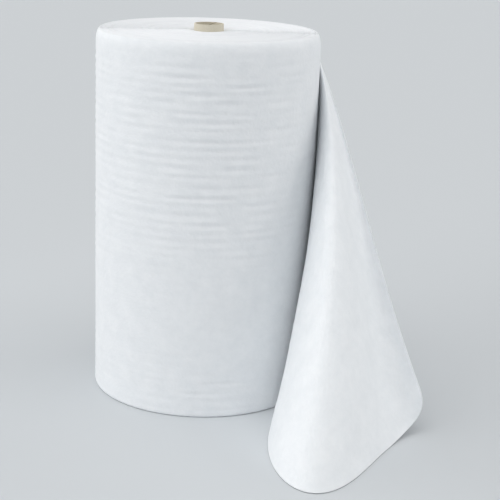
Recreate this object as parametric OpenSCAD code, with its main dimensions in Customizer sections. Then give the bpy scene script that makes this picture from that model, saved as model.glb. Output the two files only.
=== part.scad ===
// Roll of foam wrap standing on end: a web of white polyethylene foam wound on a paper core,
// with the loose end of the web let down to the floor beside it.
// Millimetres. The core's axis is Z and the roll stands on Z = 0. The front is towards -Y,
// and the loose end lies on the right, towards +X.

/* [Paper core] */
// Bore of the core
core_bore_d = 76; // [40:1:150]
// Wall of the core
core_wall = 4; // [2:0.5:10]
// How far the core stands out of the wound foam at the top
core_standout = 16; // [5:1:60]

/* [Wound foam] */
// Width of the foam web, which is the height of the roll on end
web_w = 1050; // [600:10:1500]
// Diameter of the wound foam
roll_d = 636; // [400:2:900]
// Thickness of the foam
foam_t = 3; // [2:0.5:8]
// Air between the first turn and the core
wind_gap = 0.2; // [0.1:0.1:1]
// Height of one soft ring round the roll
ring_h = 26; // [15:1:60]
// Depth of the dip between two rings
ring_dip = 1.2; // [0.4:0.2:4]

/* [Roll ends] */
// Drop of the soft rim at the top
top_rim_drop = 22; // [6:1:40]
// Depth of the soft rim at the top, towards the axis
top_rim_in = 12; // [4:1:30]
// Radius of the rim at the base
base_rim = 8; // [3:1:20]
// Width of one band of turns on the ends
band_w = 9; // [6:1:30]
// Width of the groove between two bands
groove_w = 2.4; // [1:0.2:4]
// Depth of the groove between two bands
groove_dip = 1.6; // [0.5:0.1:4]
// Sag of the top end where it meets the core
core_sag = 3; // [0:0.5:10]
// Width of that sag
core_sag_w = 60; // [20:5:120]

/* [Loose end] */
// Angle from which the last turn lies smooth, before the web leaves the roll
smooth_from_a = -72; // [-90:1:-65]
// Angle at which the smooth part ends
smooth_to_a = 32; // [25:1:60]
// Step of the smooth part over the rings
smooth_step = 0.6; // [0.2:0.1:2]
// Distance of the loose end's highest point below the top of the roll
peel_drop = 71; // [30:1:300]
// Angle round the roll at which the web leaves it, at the highest point
peel_top_a = 15; // [-5:1:20]
// The same angle at the floor
peel_foot_a = -28; // [-60:1:-10]
// Pull of the foot straight on from the roll
foot_run = 573; // [300:1:800]
// Pull of the foot's toe to the side
toe_side = 188; // [50:1:300]
// Pull of the foot's toe to the front
toe_front = 1214; // [800:1:1500]
// Pull of the foot's long side to the side
flank_side = 144; // [50:1:300]
// Pull of the foot's long side to the front
flank_front = 62; // [0:1:300]
// Distance of the web's edge at the floor to the side
edge_side = 393; // [300:1:600]
// Distance of the web's edge at the floor to the front
edge_front = 277; // [0:1:400]
// Share of the foot over which its rounded corner lifts off the floor
corner_share = 0.21; // [0.05:0.01:0.4]
// Height that the corner lifts
corner_lift = 127; // [5:1:150]

/* [Hidden] */

core_r = core_bore_d / 2 + core_wall;
bore_r = core_r + wind_gap;
roll_r = roll_d / 2;
core_len = web_w + core_standout;

// Rings: a whole number of them between the two rims, each drawn with four flats.
ring_flats = 4;
ring_count = round((web_w - base_rim - top_rim_drop) / ring_h);
ring_step = (web_w - base_rim - top_rim_drop) / ring_count;

// Bands of turns: a whole number of them between the core and the rim.
band_count = round((roll_r - top_rim_in - bore_r) / band_w);
band_step = (roll_r - top_rim_in - bore_r) / band_count;

rim_flats = 6;
round_fn = 128;

// Loose end: columns run along the web and rows run down it.
tail_cols = 40;
tail_rows = 26;
tail_h = web_w - peel_drop;
// Share of the fall at which the loose end comes out of the roll.
first_fall = 0.04;
// How far the loose end's root reaches into the roll.
root_in = 8 * foam_t;
// Depth of the smooth part, which holds the whole root.
smooth_deep = root_in + 3 * foam_t;
// Clearance between the roll and the web just after it has left.
peel_gap = 1;
peel_r = roll_r + smooth_step + peel_gap + foam_t / 2;
// How the leaving line and the pulls gather towards the highest point.
peel_ease = 0.7;
run_ease = 0.82;
side_ease = 0.8;
front_ease = 0.9;
// Slack of the web's edge between the roll and the floor.
edge_slack = -0.255;
edge_curl = 0.18;

// Soft dip round the roll at a height above the base rim.
function ring_in(h) = ring_dip * (1 - cos(360 * h / ring_step)) / 2;

// Height of the top end at a radius.
function top_z(r) = web_w - core_sag * pow(max(0, 1 - (r - bore_r) / core_sag_w), 2);

side_points = [
    for (i = [0 : ring_count * ring_flats])
        let (h = i * ring_step / ring_flats)
        [roll_r - ring_in(h), base_rim + h]
];

top_rim_points = [
    for (i = [1 : rim_flats])
        let (a = 90 * i / rim_flats)
        [roll_r - top_rim_in * (1 - cos(a)), web_w - top_rim_drop * (1 - sin(a))]
];

base_rim_points = [
    for (i = [0 : rim_flats - 1])
        let (a = 90 * i / rim_flats)
        [roll_r - base_rim * (1 - sin(a)), base_rim * (1 - cos(a))]
];

// Grooves between the bands, from the core outwards, as [radius, depth].
groove_points = [
    for (i = [1 : band_count - 1])
        for (side = [-1, 0, 1])
            [bore_r + i * band_step + side * groove_w / 2, side == 0 ? groove_dip : 0]
];
groove_last = len(groove_points) - 1;

module foam_wound() {
    rotate_extrude($fn = round_fn)
        polygon(concat(
            [[bore_r, 0]],
            groove_points,
            base_rim_points,
            side_points,
            top_rim_points,
            [for (i = [groove_last : -1 : 0])
                let (r = groove_points[i][0])
                [r, top_z(r) - groove_points[i][1]]],
            [[bore_r, top_z(bore_r)]]
        ));
}

// Smooth part of the last turn, drawn taut by the loose end.
module smooth_turn() {
    rotate([0, 0, smooth_from_a])
        rotate_extrude(angle = smooth_to_a - smooth_from_a, $fn = round_fn)
            translate([roll_r - smooth_deep, 0])
                square([smooth_deep + smooth_step, web_w - top_rim_drop]);
}

// Where the web leaves the roll, at a share w of the fall from the highest point to the floor.
function peel_a(w) = peel_top_a + (peel_foot_a - peel_top_a) * pow(w, peel_ease);
function peel_out(w) = [cos(peel_a(w)), sin(peel_a(w))];
function peel_way(w) = [sin(peel_a(w)), -cos(peel_a(w))];

// Share by which the web's edge has moved out at a share w of the fall.
function edge_ease(w) = w + w * (1 - w) * (edge_slack + edge_curl * (1 - 2 * w));

// Plan of the loose end: one smooth curve of five pull points, from the roll to the web's edge.
function tail_plan(u, w) =
    let (
        start = peel_r * peel_out(w),
        run = start + pow(w, run_ease) * foot_run * peel_way(w),
        toe = start + [pow(w, side_ease) * toe_side, -pow(w, front_ease) * toe_front],
        flank = start + pow(w, side_ease) * [flank_side, -flank_front],
        edge = start + edge_ease(w) * [edge_side, -edge_front],
        v = 1 - u
    )
    pow(v, 4) * start + 4 * u * pow(v, 3) * run + 6 * pow(u * v, 2) * toe
        + 4 * pow(u, 3) * v * flank + pow(u, 4) * edge;

function tail_mid(u, w) = concat(tail_plan(u, w), [tail_h * (1 - w)]);

// Share of the fall that a column reaches: all of it, but for the rounded corner.
function reach(u) =
    let (k = max(0, (u - 1 + corner_share) / corner_share))
    1 - corner_lift / tail_h * (1 - sqrt(1 - k * k));

// Step from the middle of the foam to its face.
function tail_half(u, w) =
    let (
        d = 0.001,
        along = tail_mid(min(1, u + d), w) - tail_mid(max(0, u - d), w),
        down = tail_mid(u, w + d) - tail_mid(u, w - d),
        n = cross(down, along)
    )
    foam_t / 2 * n / norm(n);

// Column 0 is the root, which stands straight in the roll. Column 1 turns it to the web's way.
function root_mid(w) = concat((roll_r - root_in) * peel_out(w), [tail_h * (1 - w)]);
function root_half(w) = foam_t / 2 * concat(peel_way(w), [0]);
function turn_half(w) = foam_t / 2 * concat(peel_way(w) - peel_out(w), [0]);

function tail_point(col, row, face) =
    let (
        u = (col - 1) / (tail_cols - 1),
        w = first_fall + (reach(u) - first_fall) * row / tail_rows,
        mid = col == 0 ? root_mid(w) : tail_mid(u, w),
        half = col == 0 ? root_half(w) : col == 1 ? turn_half(w) : tail_half(u, w),
        p = mid + face * half
    )
    [p[0], p[1], max(0, p[2])];

tail_grid = (tail_cols + 1) * (tail_rows + 1);
function tail_id(face, col, row) = face * tail_grid + col * (tail_rows + 1) + row;

tail_points = [
    for (face = [1, -1])
        for (col = [0 : tail_cols])
            for (row = [0 : tail_rows])
                tail_point(col, row, face)
];

// Four corners as two triangles.
function quad(a, b, c, d) = [[a, b, c], [a, c, d]];

// A strip of the rim between the two faces, from one corner of the grid to the next.
function rim(col, row, next_col, next_row) = quad(
    tail_id(0, col, row), tail_id(0, next_col, next_row),
    tail_id(1, next_col, next_row), tail_id(1, col, row)
);

tail_faces = [
    for (col = [0 : tail_cols - 1])
        for (row = [0 : tail_rows - 1])
            each concat(
                quad(tail_id(0, col, row), tail_id(0, col + 1, row),
                    tail_id(0, col + 1, row + 1), tail_id(0, col, row + 1)),
                quad(tail_id(1, col, row), tail_id(1, col, row + 1),
                    tail_id(1, col + 1, row + 1), tail_id(1, col + 1, row))
            ),
    for (col = [0 : tail_cols - 1])
        each concat(rim(col + 1, 0, col, 0), rim(col, tail_rows, col + 1, tail_rows)),
    for (row = [0 : tail_rows - 1])
        each concat(rim(0, row, 0, row + 1), rim(tail_cols, row + 1, tail_cols, row))
];

module loose_end() {
    polyhedron(points = tail_points, faces = tail_faces, convexity = 6);
}

// The whole web: its wound turns and its loose end are one piece of foam.
module foam_roll() {
    color("#f2f5f7") {
        foam_wound();
        union() {
            smooth_turn();
            loose_end();
        }
    }
}

// Paper core, open from end to end.
module core_tube() {
    color("#b9ab95")
        difference() {
            cylinder(h = core_len, r = core_r, $fn = round_fn);
            translate([0, 0, -1])
                cylinder(h = core_len + 2, d = core_bore_d, $fn = round_fn);
        }
}

foam_roll();
core_tube();
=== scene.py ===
# Roll of foam wrap on end with its loose end let down: the looks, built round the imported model.
# Metres, in the model's own frame: the core's axis is Z, the front is towards -Y.
import math

import bpy
import numpy as np
from mathutils import Matrix, Vector, noise


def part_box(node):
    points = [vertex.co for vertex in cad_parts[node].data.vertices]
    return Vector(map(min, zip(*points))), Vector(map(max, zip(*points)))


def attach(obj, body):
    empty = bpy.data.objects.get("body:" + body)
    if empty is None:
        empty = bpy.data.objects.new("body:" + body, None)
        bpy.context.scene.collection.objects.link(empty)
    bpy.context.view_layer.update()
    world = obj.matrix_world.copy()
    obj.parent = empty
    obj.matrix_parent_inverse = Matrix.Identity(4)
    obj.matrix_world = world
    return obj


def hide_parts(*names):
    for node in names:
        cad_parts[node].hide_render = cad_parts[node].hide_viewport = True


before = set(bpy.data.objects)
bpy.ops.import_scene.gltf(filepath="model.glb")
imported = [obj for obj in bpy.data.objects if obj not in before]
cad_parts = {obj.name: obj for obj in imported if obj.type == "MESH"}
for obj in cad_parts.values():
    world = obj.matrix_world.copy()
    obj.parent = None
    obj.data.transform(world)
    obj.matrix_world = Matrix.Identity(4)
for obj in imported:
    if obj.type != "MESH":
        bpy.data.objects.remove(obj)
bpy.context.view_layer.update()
scene = bpy.context.scene
mm = 0.001
leastLength = 1e-12                 # keeps a length that is divided by away from nothing
coreClearance = 0.2 * mm            # between the core and the first turn

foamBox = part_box("foam_roll")
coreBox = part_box("core_tube")
rollRadius = -foamBox[0].x          # the loose end lies towards +X, so the left side is the bare roll
webWidth = foamBox[1].z
boreRadius = coreBox[1].x + coreClearance
print("frame: roll radius %.3f, web width %.3f" % (rollRadius, webWidth))


def addNode(tree, kind, settings=None, links=None):
    # settings are node values, or inputs by name or number; links are {input: (node, output)}
    node = tree.nodes.new(kind)
    for name, value in (settings or {}).items():
        if isinstance(name, int) or name in node.inputs:
            node.inputs[name].default_value = value
        else:
            setattr(node, name, value)
    for name, (source, output) in (links or {}).items():
        tree.links.new(source.outputs[output], node.inputs[name])
    return node


def hexToLinear(code, alpha=1.0):
    channels = [int(code[i:i + 2], 16) / 255 for i in (1, 3, 5)]
    return [c / 12.92 if c <= 0.04045 else ((c + 0.055) / 1.055) ** 2.4 for c in channels] + [alpha]


def mixColours(tree, amount, first, second):
    # amount is (node, output); the two colours are hex values; a colour mix has them on inputs 6 and 7
    node = addNode(tree, "ShaderNodeMix", {"data_type": "RGBA"})
    tree.links.new(amount[0].outputs[amount[1]], node.inputs[0])
    node.inputs[6].default_value = hexToLinear(first)
    node.inputs[7].default_value = hexToLinear(second)
    return node


def newMaterial(name):
    material = bpy.data.materials.new(name)
    material.use_nodes = True
    material.node_tree.nodes.clear()
    return material, material.node_tree


def waveNoise(angle, seed, waves=6, lowest=1):
    # smooth and closed round the roll, about -1 to 1
    draw = np.random.default_rng(seed)
    total = np.zeros_like(angle)
    for i in range(waves):
        total += draw.normal() * np.sin((lowest + i) * angle + draw.uniform(0, 2 * math.pi))
    return total / math.sqrt(waves)


def smoothRise(x, low, high):
    t = np.clip((x - low) / (high - low), 0, 1)
    return t * t * (3 - 2 * t)


def gridObject(name, points, closedAcross=False, closedAlong=False, flip=False, capped=False):
    # points[i, j] is a grid of vertices; quads join neighbours, round the ends where it is closed
    rows, columns = points.shape[:2]
    i = np.arange(rows if closedAlong else rows - 1)
    j = np.arange(columns if closedAcross else columns - 1)
    i, j = np.meshgrid(i, j, indexing="ij")
    nextI, nextJ = (i + 1) % rows, (j + 1) % columns
    quads = np.stack([i * columns + j, nextI * columns + j, nextI * columns + nextJ, i * columns + nextJ], -1)
    faces = quads.reshape(-1, 4).tolist()
    if capped:
        last = (rows - 1) * columns
        faces += [list(range(columns)), list(range(last, last + columns))[::-1]]
    return meshObject(name, points.reshape(-1, 3), [f[::-1] for f in faces] if flip else faces)


def meshObject(name, vertices, faces):
    mesh = bpy.data.meshes.new(name)
    mesh.from_pydata([tuple(v) for v in vertices], [], [tuple(int(k) for k in f) for f in faces])
    mesh.validate()
    mesh.shade_smooth()
    piece = bpy.data.objects.new(name, mesh)
    scene.collection.objects.link(piece)
    return piece


# Wound foam: the outer turn with its soft rings, standing between two soft rims

wound = dict(
    turnPitch=3 * mm,
    segments=240,
    rowStep=4.6 * mm,
    topRimDrop=38 * mm, topRimIn=13 * mm, topRimAngles=(12, 24, 36, 48, 60, 72, 80),
    baseRim=8 * mm, baseRimSteps=5,
    ringStep=26 * mm, ringWander=4 * mm, firstRing=14 * mm,
    ringsRise=(0.34, 0.60),         # heights over which the rings come up from the smooth lower half
    ringsEase=(0.96, 1.02),         # and over which they ease off under the rim
    footFade=(0.10, 0.20),          # a few faint rings stay near the floor
    ringsFront=-83, ringsBack=165, ringsSpread=0.30,
    creaseDepth=2.2 * mm, creaseHalf=6 * mm, creaseGain=1.15,
    bulge=0.6 * mm, bulgeAway=2.0,
    unevenness=0.5 * mm,
    webFrom=(-34, -8), webTo=(96, 122), webHolds=0.85,
    coreSag=3 * mm, coreSagWidth=60 * mm,
    endDrop=2.6 * mm,               # how far the body's plain ends lie below the edges of the turns
    endLip=1 * mm, endLipShare=0.9,
    fadeRows=4,
)


def rimIn(height):
    # how far the soft rim draws the outer turn in, near the top
    w = wound
    climb = np.clip(1 - (webWidth - height) / w["topRimDrop"], 0, 1)
    return w["topRimIn"] * (1 - np.sqrt(1 - climb * climb))


def underWeb(angle):
    # 1 where the loose end is still wrapped round the roll and holds it smooth
    a = np.degrees((angle + math.pi) % (2 * math.pi) - math.pi)
    return smoothRise(a, *wound["webFrom"]) * (1 - smoothRise(a, *wound["webTo"]))


def ringReach(angle, height):
    # the rings are deep in the upper half and at the front, and almost gone lower down
    w = wound
    ease = 1 - 0.6 * smoothRise(height, *w["ringsEase"])
    upper = 0.16 + 0.84 * smoothRise(height, *w["ringsRise"]) * ease
    lower = 0.30 * (1 - smoothRise(height, *w["footFade"]))
    front = np.exp(-((np.sin((angle - math.radians(w["ringsFront"])) / 2) / w["ringsSpread"]) ** 2))
    back = 0.7 * np.exp(-((np.sin((angle - math.radians(w["ringsBack"])) / 2) / w["ringsSpread"]) ** 2))
    return (upper + lower) * (0.18 + 0.82 * (front + back))


def sideShift(angle, height):
    # how far the outer turn lies outside its plain radius
    w = wound
    draw = np.random.default_rng(11)
    shift = np.zeros_like(angle)
    ringHeight = w["baseRim"] + w["firstRing"]
    ringNumber = 0
    while ringHeight < webWidth - 0.6 * w["topRimDrop"]:
        centre = ringHeight + w["ringWander"] * 0.4 * waveNoise(angle, 100 + ringNumber, 4)
        strength = np.clip(0.55 + 0.6 * waveNoise(angle, 300 + ringNumber, 13, 3), 0.05, 1.3)
        half = w["creaseHalf"] * draw.uniform(0.8, 1.25)
        away = (height - centre) / half
        shift -= w["creaseDepth"] * strength * np.exp(-away * away)
        shift += w["bulge"] * strength * np.exp(-(np.abs(away) - w["bulgeAway"]) ** 2)
        ringHeight += w["ringStep"] + draw.uniform(-1, 1) * w["ringWander"]
        ringNumber += 1
    shift *= w["creaseGain"] * ringReach(angle, height)
    shift += w["unevenness"] * waveNoise(angle + 3 * height, 7, 5, 2)
    return shift * (1 - w["webHolds"] * underWeb(angle))


def makeWoundTurns():
    # one outline of radius and height, carried round the core and shifted where it is the outer turn
    w = wound
    angle = np.linspace(0, 2 * math.pi, w["segments"], endpoint=False)
    profile = [(boreRadius, w["endDrop"]), (rollRadius - w["baseRim"] - w["turnPitch"], w["endDrop"])]
    profile += [(rollRadius - w["baseRim"] * (1 - math.sin(a)), w["baseRim"] * (1 - math.cos(a)))
                for a in np.linspace(0, math.pi / 2, w["baseRimSteps"] + 1)[:-1]]
    lowSide, highSide = w["baseRim"], webWidth - w["topRimDrop"]
    sideRows = int((highSide - lowSide) / w["rowStep"])
    sideStart = len(profile)
    profile += [(rollRadius, z) for z in np.linspace(lowSide, highSide, sideRows)]
    sideEnd = len(profile)
    profile += [(rollRadius - w["topRimIn"] * (1 - math.cos(a)),
                 webWidth - w["topRimDrop"] * (1 - math.sin(a)))
                for a in np.radians(w["topRimAngles"])]
    rimEnd = sideEnd + len(w["topRimAngles"])
    profile += [(rollRadius - w["topRimIn"] * w["endLipShare"], webWidth - w["endDrop"] - w["endLip"]),
                (boreRadius + w["coreSagWidth"], webWidth - w["endDrop"]),
                (boreRadius, webWidth - w["endDrop"] - w["coreSag"])]
    profile = np.array(profile)
    angles, radius = np.meshgrid(angle, profile[:, 0])
    height = np.repeat(profile[:, 1:2], len(angle), axis=1)
    shift = sideShift(angles, height)
    # the rings fade out over both rims
    onSide = np.zeros(len(profile))
    onSide[sideStart:sideEnd] = 1
    onSide[sideEnd:rimEnd] = np.linspace(1.0, 0.1, rimEnd - sideEnd)
    onSide[sideStart - w["fadeRows"]:sideStart] = np.linspace(0.1, 0.8, w["fadeRows"])
    radius = radius + shift * onSide[:, None]
    points = np.stack([radius * np.cos(angles), radius * np.sin(angles), height], -1)
    return gridObject("wound_turns", points, closedAcross=True, closedAlong=True, flip=True)


# Cut edges of the turns on both ends: one long ribbon each, wound from the outside in

edges = dict(
    segments=168,
    topInset=9 * mm, baseInset=8 * mm,
    basePitch=3,                    # turns that one groove stands for on the base
    section=((-0.46, 4.0 * mm), (-0.36, 0.35 * mm), (0.0, 0.0), (0.36, 0.35 * mm), (0.46, 4.0 * mm)),
    stagger=0.45 * mm, tilt=0.15 * mm,
    band=0.7 * mm, bandWidth=14 * mm, bandDrift=37 * mm,
    highest=0.9 * mm, lowest=-1.3 * mm,
)


def endHeight(radius):
    # height of the top end, with its sag at the core and its soft rim
    w = wound
    sag = w["coreSag"] * np.clip(1 - (radius - boreRadius) / w["coreSagWidth"], 0, None) ** 2
    toRim = np.clip((radius - (rollRadius - w["topRimIn"])) / w["topRimIn"], 0, 1)
    drop = w["topRimDrop"] * (1 - np.sqrt(1 - toRim * toRim))
    return webWidth - sag - drop


def makeTurnEdges(name, outerRadius, pitch, atTop, seed):
    e = edges
    segments = e["segments"]
    turns = int((outerRadius - boreRadius) / pitch)
    index = np.arange(turns * segments + 1)
    angle = index / segments * 2 * math.pi
    middle = outerRadius - pitch * (index / segments) - pitch / 2
    draw = np.random.default_rng(seed)
    stagger = np.interp(index / segments, np.arange(turns + 2), draw.normal(0, e["stagger"], turns + 2))
    band = e["band"] * np.sin(middle / e["bandWidth"] * 2 * math.pi + 1.6 * np.sin(middle / e["bandDrift"]))
    tilt = e["tilt"] * waveNoise(angle + middle * 30, seed + 1, 5)
    uneven = np.clip(stagger + band + tilt, e["lowest"], e["highest"])
    ribbon = []
    for across, down in e["section"]:
        radius = middle + across * pitch
        if atTop:
            # the sags only ever take the edges down, so the roll keeps its height
            height = endHeight(radius) - e["highest"] + uneven - down
        else:
            height = e["highest"] - uneven + down
        ribbon.append(np.stack([radius * np.cos(angle), radius * np.sin(angle), height], -1))
    points = np.stack(ribbon, 1)
    return gridObject(name, points, closedAcross=True, flip=atTop, capped=True)


woundTurns = makeWoundTurns()
topEdges = makeTurnEdges("top_turn_edges", rollRadius - edges["topInset"], wound["turnPitch"], True, 21)
baseEdges = makeTurnEdges("base_turn_edges", rollRadius - edges["baseInset"],
                          edges["basePitch"] * wound["turnPitch"], False, 33)
for piece in (woundTurns, topEdges, baseEdges):
    print("wound foam: %s has %d faces" % (piece.name, len(piece.data.polygons)))


# Loose end: the web leaves the roll at its right, bends round at the front and falls to the floor

loose = dict(
    thickness=3 * mm,
    columns=225, wrapColumns=36, rows=180, rowCrowd=1.15,
    apex=0.979,                     # height at which the web's edge leaves the roll
    gap=2.5 * mm,                   # from the roll's face to the middle of the foam
    wrapAngle=100, wrapRise=62 * mm, wrapFade=6,
    wrapSettle=1.7 * mm, settleOver=(0.0, 0.12),
    wrapSink=4.5 * mm, sinkOver=(0.35, 1.0),
    leaveTop=15, leaveFoot=-28, leaveEase=0.7,
    run=0.573, runEase=0.82,
    toe=(0.188, -1.214), toeEase=(0.8, 0.9),
    flank=(0.144, -0.062), flankEase=(0.8, 0.8),
    edge=(0.393, -0.277), edgeSlack=-0.255, edgeCurl=0.18,
    corner=0.21, cornerLift=0.127,
    firstFall=0.004, nearEdge=0.0012,
    footLength=1.28,
    crease=0.85 * mm, creaseWidth=15 * mm, creaseLength=50 * mm,
    creaseCalm=0.6, creaseLively=1.2,
    creaseFromRoll=(0.0, 0.12), creaseFromTop=(0.05, 0.2), creaseToFloor=(0.97, 1.0),
    wave=1.6 * mm, waveLength=150 * mm,
)


def looseMiddle(u, w):
    # middle of the foam at a share u of the way from the roll to the edge and w of the fall
    s = loose
    k = np.clip((u - 1 + s["corner"]) / s["corner"], 0, 1)
    w = w * (1 - s["cornerLift"] / s["apex"] * (1 - np.sqrt(1 - k * k)))
    leave = np.radians(s["leaveTop"] + (s["leaveFoot"] - s["leaveTop"]) * w ** s["leaveEase"])
    radius = rollRadius + s["gap"]
    onRoll = np.clip(-u, 0, None)
    wrapped = leave + onRoll * math.radians(s["wrapAngle"])
    foot = s["thickness"] / 2
    # the part that is still wrapped climbs to the rim and settles into the roll
    height = (foot + (s["apex"] - foot) * (1 - w)
              + s["wrapRise"] * (1 - (1 - onRoll) ** 2) * (1 - w) ** s["wrapFade"])
    sunk = (radius - s["wrapSettle"] * smoothRise(onRoll, *s["settleOver"])
            - s["wrapSink"] * smoothRise(onRoll, *s["sinkOver"]) - rimIn(height))
    atRoll = np.stack([sunk * np.cos(wrapped), sunk * np.sin(wrapped)], -1)
    start = radius * np.stack([np.cos(leave), np.sin(leave)], -1)
    way = np.stack([np.sin(leave), -np.cos(leave)], -1)
    slack = w + w * (1 - w) * (s["edgeSlack"] + s["edgeCurl"] * (1 - 2 * w))
    pull1 = start + (s["run"] * w ** s["runEase"])[..., None] * way
    pull2 = start + np.stack([s["toe"][i] * w ** s["toeEase"][i] for i in (0, 1)], -1)
    pull3 = start + np.stack([s["flank"][i] * w ** s["flankEase"][i] for i in (0, 1)], -1)
    pull4 = start + slack[..., None] * np.array(s["edge"])
    # in plan the free part is one smooth curve of five pull points
    b = np.clip(u, 0, 1)[..., None]
    free = ((1 - b) ** 4 * start + 4 * b * (1 - b) ** 3 * pull1 + 6 * b ** 2 * (1 - b) ** 2 * pull2
            + 4 * b ** 3 * (1 - b) * pull3 + b ** 4 * pull4)
    plan = np.where((u < 0)[..., None], atRoll, free)
    return np.concatenate([plan, height[..., None]], -1)


def wrinkles(along, down):
    # small crossed creases that a soft web keeps from the winding; along and down in metres of web
    k = loose
    values = []
    for x, y in zip(along.ravel(), down.ravel()):
        one = noise.noise(Vector(((x + y) / k["creaseWidth"], (x - y) / k["creaseLength"], 0)))
        other = noise.noise(Vector(((x - y) / k["creaseWidth"], (x + y) / k["creaseLength"], 7)))
        wide = noise.noise(Vector((x / k["waveLength"], y / k["waveLength"], 3)))
        lively = k["creaseCalm"] + k["creaseLively"] * max(0, wide)
        values.append(k["crease"] * (one + other) * lively + k["wave"] * wide)
    return np.array(values).reshape(along.shape)


def makeLooseEnd():
    # two faces, 3 mm apart, joined by a round border
    s = loose
    u = np.concatenate([np.linspace(-1, 0, s["wrapColumns"], endpoint=False),
                        np.linspace(0, 1, s["columns"])])
    w = np.linspace(0, 1, s["rows"]) ** s["rowCrowd"]
    w[0] = s["firstFall"]
    u = np.insert(u, -1, 1 - s["nearEdge"])
    w = np.insert(np.insert(w, -1, 1 - s["nearEdge"]), 1, s["firstFall"] + s["nearEdge"])
    u, w = np.meshgrid(u, w, indexing="ij")
    middle = looseMiddle(u, w)
    alongWeb, downWeb = np.gradient(middle, axis=0), np.gradient(middle, axis=1)
    normal = np.cross(downWeb, alongWeb)
    normal /= np.linalg.norm(normal, axis=-1, keepdims=True) + leastLength
    crumple = (wrinkles(u * s["footLength"], w * s["apex"])
               * smoothRise(u, *s["creaseFromRoll"]) * smoothRise(w, *s["creaseFromTop"]))
    middle += normal * (crumple * (1 - smoothRise(w, *s["creaseToFloor"])))[..., None]
    half = s["thickness"] / 2
    columns, rows = u.shape
    grid = np.arange(columns * rows).reshape(columns, rows)
    topEdge = [(i, 0) for i in range(columns)]
    cutEdge = [(columns - 1, j) for j in range(1, rows)]
    footEdge = [(i, rows - 1) for i in range(columns - 2, -1, -1)]
    heldEdge = [(0, j) for j in range(rows - 2, 0, -1)]
    border = topEdge + cutEdge + footEdge + heldEdge
    around = np.array([middle[i, j] for i, j in border])
    sheetNormal = np.array([normal[i, j] for i, j in border])
    outwards = np.cross(np.roll(around, -1, 0) - np.roll(around, 1, 0), sheetNormal)
    outwards /= np.linalg.norm(outwards, axis=-1, keepdims=True) + leastLength
    vertices = np.concatenate([(middle + normal * half).reshape(-1, 3),
                               (middle - normal * half).reshape(-1, 3),
                               around + outwards * half])
    vertices[:, 2] = np.maximum(vertices[:, 2], 0)
    cells = np.stack([grid[:-1, :-1], grid[:-1, 1:], grid[1:, 1:], grid[1:, :-1]], -1).reshape(-1, 4)
    count = columns * rows
    rim = np.array([grid[i, j] for i, j in border])
    rimNext = np.roll(rim, -1)
    mid = 2 * count + np.arange(len(border))
    midNext = np.roll(mid, -1)
    faces = np.concatenate([cells, cells[:, ::-1] + count,
                            np.stack([rim, rimNext, midNext, mid], -1),
                            np.stack([mid, midNext, rimNext + count, rim + count], -1)])
    return meshObject("loose_end", vertices, faces)


looseEnd = makeLooseEnd()
print("loose end: %d faces" % len(looseEnd.data.polygons))


# Foamed polyethylene, extruded: white and satin, slightly see-through at its edges, with closed
# cells that give the eye a fine soft grain and no sparkle

foamLook = dict(
    white="#f6f8fa", shade="#e2e6e9", edgeShade="#e6e9ed",
    roughness=0.52, ior=1.5, scatter=0.5, scatterDepth=3 * mm,
    cellSize=3.0 * mm,              # real cells are 1 to 2 mm, drawn coarser so that they show
    cellDepth=0.5, cellRelief=0.3 * mm,
    mottleSize=45 * mm, mottleDetail=6.0, mottleRoughness=0.7,
    creaseSize=9 * mm, creaseDetail=4.0, creaseDepth=0.85, creaseRelief=1.2 * mm,
    edgeBand=11 * mm, edgeDetail=3.0,   # a few turns together, because one turn is too fine to show
)


def foamMaterial(name, atEdges):
    look = foamLook
    material, tree = newMaterial(name)
    where = addNode(tree, "ShaderNodeTexCoord")
    if atEdges:
        # the tone goes with the distance from the core, turn by turn
        flat = addNode(tree, "ShaderNodeVectorMath", {"operation": "MULTIPLY", 1: (1, 1, 0)},
                       {0: (where, "Object")})
        outwards = addNode(tree, "ShaderNodeVectorMath", {"operation": "LENGTH"}, {0: (flat, 0)})
        mottle = addNode(tree, "ShaderNodeTexNoise",
                         {"noise_dimensions": "1D", "Scale": 1 / look["edgeBand"],
                          "Detail": look["edgeDetail"], "Roughness": look["mottleRoughness"]},
                         {"W": (outwards, "Value")})
        tone = mixColours(tree, (mottle, 0), look["white"], look["edgeShade"])
    else:
        mottle = addNode(tree, "ShaderNodeTexNoise",
                         {"Scale": 1 / look["mottleSize"], "Detail": look["mottleDetail"],
                          "Roughness": look["mottleRoughness"]},
                         {"Vector": (where, "Object")})
        tone = mixColours(tree, (mottle, 0), look["white"], look["shade"])
    cells = addNode(tree, "ShaderNodeTexVoronoi", {"Scale": 1 / look["cellSize"]},
                    {"Vector": (where, "Object")})
    cellBump = addNode(tree, "ShaderNodeBump",
                       {"Strength": look["cellDepth"], "Distance": look["cellRelief"]},
                       {"Height": (cells, "Distance")})
    crease = addNode(tree, "ShaderNodeTexNoise",
                     {"Scale": 1 / look["creaseSize"], "Detail": look["creaseDetail"]},
                     {"Vector": (where, "Object")})
    creaseBump = addNode(tree, "ShaderNodeBump",
                         {"Strength": look["creaseDepth"], "Distance": look["creaseRelief"]},
                         {"Height": (crease, 0), "Normal": (cellBump, "Normal")})
    shader = addNode(tree, "ShaderNodeBsdfPrincipled",
                     {"Roughness": look["roughness"], "IOR": look["ior"],
                      "Subsurface Weight": look["scatter"], "Subsurface Scale": look["scatterDepth"],
                      "Subsurface Radius": (1, 1, 1)},
                     {"Base Color": (tone, 2), "Normal": (creaseBump, "Normal")})
    addNode(tree, "ShaderNodeOutputMaterial", links={"Surface": (shader, "BSDF")})
    return material


# Wound paper board: grey-brown recycled fibre in spiral plies, matt, with a fine seam at each ply

coreLook = dict(
    board="#e6e0d0", fibre="#cdc5b1", seam="#a0947c",
    roughness=0.85, ply=90 * mm, seamWidth=1.4 * mm,
    fibreSize=2.5 * mm, fibreDetail=6.0, fibreDepth=0.3, fibreRelief=0.4 * mm,
)


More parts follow.
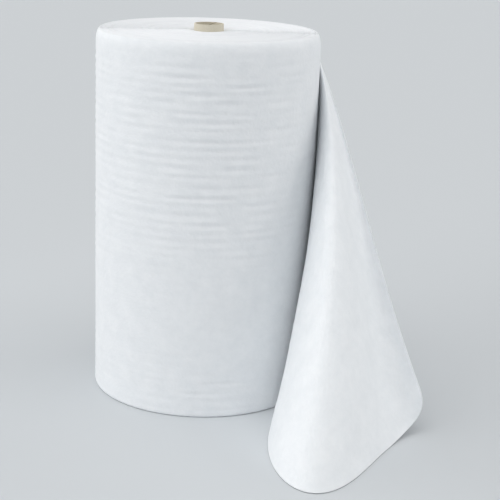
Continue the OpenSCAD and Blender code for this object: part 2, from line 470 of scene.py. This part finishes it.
def coreMaterial():
    look = coreLook
    material, tree = newMaterial("paper_board_spiral_wound")
    where = addNode(tree, "ShaderNodeTexCoord")
    fibres = addNode(tree, "ShaderNodeTexNoise",
                     {"Scale": 1 / look["fibreSize"], "Detail": look["fibreDetail"]},
                     {"Vector": (where, "Object")})
    tone = mixColours(tree, (fibres, 0), look["board"], look["fibre"])
    # one seam climbs round the tube by a ply's width each turn
    parts = addNode(tree, "ShaderNodeSeparateXYZ", links={"Vector": (where, "Object")})
    turned = addNode(tree, "ShaderNodeMath", {"operation": "ARCTAN2"}, {0: (parts, "Y"), 1: (parts, "X")})
    share = addNode(tree, "ShaderNodeMath", {"operation": "DIVIDE", 1: 2 * math.pi}, {0: (turned, 0)})
    climb = addNode(tree, "ShaderNodeMath", {"operation": "MULTIPLY_ADD", 1: 1 / look["ply"]},
                    {0: (parts, "Z"), 2: (share, 0)})
    place = addNode(tree, "ShaderNodeMath", {"operation": "FRACT"}, {0: (climb, 0)})
    atSeam = addNode(tree, "ShaderNodeMath", {"operation": "LESS_THAN", 1: look["seamWidth"] / look["ply"]},
                     {0: (place, 0)})
    marked = mixColours(tree, (atSeam, 0), look["board"], look["seam"])
    tree.links.new(tone.outputs[2], marked.inputs[6])
    bump = addNode(tree, "ShaderNodeBump", {"Strength": look["fibreDepth"], "Distance": look["fibreRelief"]},
                   {"Height": (fibres, 0)})
    shader = addNode(tree, "ShaderNodeBsdfPrincipled", {"Roughness": look["roughness"]},
                     {"Base Color": (marked, 2), "Normal": (bump, "Normal")})
    addNode(tree, "ShaderNodeOutputMaterial", links={"Surface": (shader, "BSDF")})
    return material


webFoam = foamMaterial("foamed_polyethylene_extruded", False)
cutFoam = foamMaterial("foamed_polyethylene_slit_edges", True)
coreBoard = coreMaterial()
for piece in (woundTurns, topEdges, baseEdges, looseEnd):
    piece.data.materials.append(cutFoam if piece in (topEdges, baseEdges) else webFoam)
    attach(piece, "root")
    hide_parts("foam_roll")
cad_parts["core_tube"].data.materials[0] = coreBoard
print("materials set")


# Studio: a pale floor and wide soft lights, each from a direction so that the floor is lit evenly

studio = dict(
    paper="#e2e5e8", seenPaper="#cfd3d6", floorSize=120.0,
    horizon=0.948,                  # brings what lies past the floor to the lit floor's tone
    ambient=0.25,
    softness=60,                    # degrees across each light, as wide as a large diffuser near by
    leftFront=dict(comesFrom=(-1, -0.5, 0.35), power=1.2),
    leftBack=dict(comesFrom=(-0.9, 0.6, 0.4), power=0.72),
    right=dict(comesFrom=(1, -0.1, 0.35), power=0.76),
    rightBack=dict(comesFrom=(0.8, 0.6, 0.5), power=0.3),
    above=dict(comesFrom=(0, -0.3, 1), power=1.3),
    lens=96.2, sensor=36.0, eye=(0.137, -3.802, 1.484), lookDown=15.84, roll=1.92,
)


def softLight(name, comesFrom, power):
    light = bpy.data.lights.new(name, "SUN")
    light.angle = math.radians(studio["softness"])
    light.energy = power
    lamp = bpy.data.objects.new(name, light)
    lamp.rotation_euler = (-Vector(comesFrom)).to_track_quat("-Z", "Y").to_euler()
    scene.collection.objects.link(lamp)


def seenByEye(tree):
    # 1 for rays that the camera sees straight, in a gloss or through glass
    ray = addNode(tree, "ShaderNodeLightPath")
    first = addNode(tree, "ShaderNodeMath", {"operation": "MAXIMUM"})
    tree.links.new(ray.outputs["Is Camera Ray"], first.inputs[0])
    tree.links.new(ray.outputs["Is Glossy Ray"], first.inputs[1])
    second = addNode(tree, "ShaderNodeMath", {"operation": "MAXIMUM"}, {0: (first, 0)})
    tree.links.new(ray.outputs["Is Transmission Ray"], second.inputs[1])
    return second


def makeFloor():
    half = studio["floorSize"] / 2
    corners = [(-half, -half, 0), (half, -half, 0), (half, half, 0), (-half, half, 0)]
    floor = meshObject("floor", corners, [(0, 1, 2, 3)])
    material, tree = newMaterial("studio_floor_matt")
    # pale paper that the camera sees a shade darker, so that the white foam stands out from it
    lit = addNode(tree, "ShaderNodeBsdfDiffuse", {"Color": hexToLinear(studio["paper"])})
    seen = addNode(tree, "ShaderNodeBsdfDiffuse", {"Color": hexToLinear(studio["seenPaper"])})
    both = addNode(tree, "ShaderNodeMixShader", links={"Fac": (seenByEye(tree), 0)})
    tree.links.new(lit.outputs[0], both.inputs[1])
    tree.links.new(seen.outputs[0], both.inputs[2])
    addNode(tree, "ShaderNodeOutputMaterial", links={"Surface": (both, 0)})
    floor.data.materials.append(material)


def makeWorld():
    world = bpy.data.worlds.new("studio_world")
    world.use_nodes = True
    tree = world.node_tree
    tree.nodes.clear()
    light = addNode(tree, "ShaderNodeBackground", {"Color": (1, 1, 1, 1), "Strength": studio["ambient"]})
    shown = addNode(tree, "ShaderNodeBackground",
                    {"Color": hexToLinear(studio["seenPaper"]), "Strength": studio["horizon"]})
    mixed = addNode(tree, "ShaderNodeMixShader", links={"Fac": (seenByEye(tree), 0)})
    tree.links.new(light.outputs[0], mixed.inputs[1])
    tree.links.new(shown.outputs[0], mixed.inputs[2])
    addNode(tree, "ShaderNodeOutputWorld", links={"Surface": (mixed, 0)})
    scene.world = world


def makeCamera():
    # the photo's view: a little above the roll's top, tilted down and very slightly rolled
    lens = bpy.data.cameras.new("camera")
    lens.lens = studio["lens"]
    lens.sensor_width = studio["sensor"]
    camera = bpy.data.objects.new("camera", lens)
    tilt = math.radians(90 - studio["lookDown"])
    roll = math.radians(studio["roll"])
    turn = Matrix.Rotation(tilt, 4, "X") @ Matrix.Rotation(roll, 4, "Z")
    camera.matrix_world = Matrix.Translation(studio["eye"]) @ turn
    scene.collection.objects.link(camera)
    scene.camera = camera


for side in ("leftFront", "leftBack", "right", "rightBack", "above"):
    softLight("soft_" + side, **studio[side])
makeFloor()
makeWorld()
makeCamera()
scene.view_settings.view_transform = "Standard"
print("studio set")
